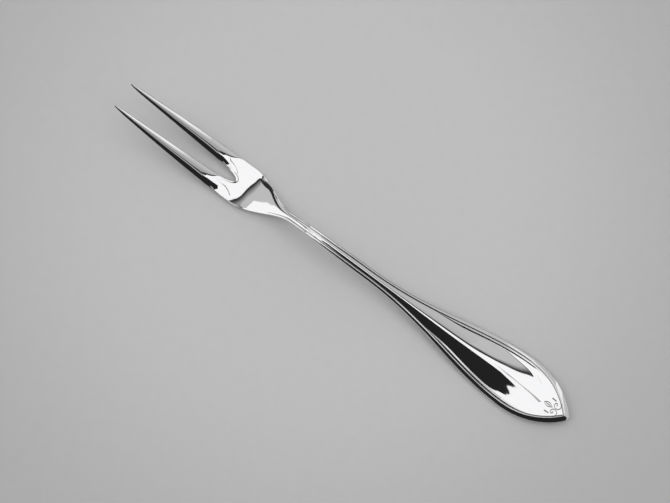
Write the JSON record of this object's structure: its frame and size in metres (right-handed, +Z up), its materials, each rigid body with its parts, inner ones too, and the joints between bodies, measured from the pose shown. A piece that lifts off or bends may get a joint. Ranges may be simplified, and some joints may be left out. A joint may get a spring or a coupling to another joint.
{
  "type": "meat fork",
  "caption": "Polished meat fork with slender, upswept tines, a beaded stem and a keeled, leaf-shaped handle with a pointed end, for lifting and serving slices of meat.",
  "frame": {"origin": "on the table plane, under the middle of the fork's length and width", "axes": "+X along the fork, from the tine tips to the handle's pointed end; +Y across the fork; +Z up, away from the table, with the tines sweeping up"},
  "size_m": [0.21, 0.023, 0.012],
  "materials": {
    "head_steel": "mirror polish",
    "handle_steel": "mirror polish"
  },
  "bodies": {
    "root": {"fork_head": "head_steel", "handle": "handle_steel"}
  },
  "joints": []
}
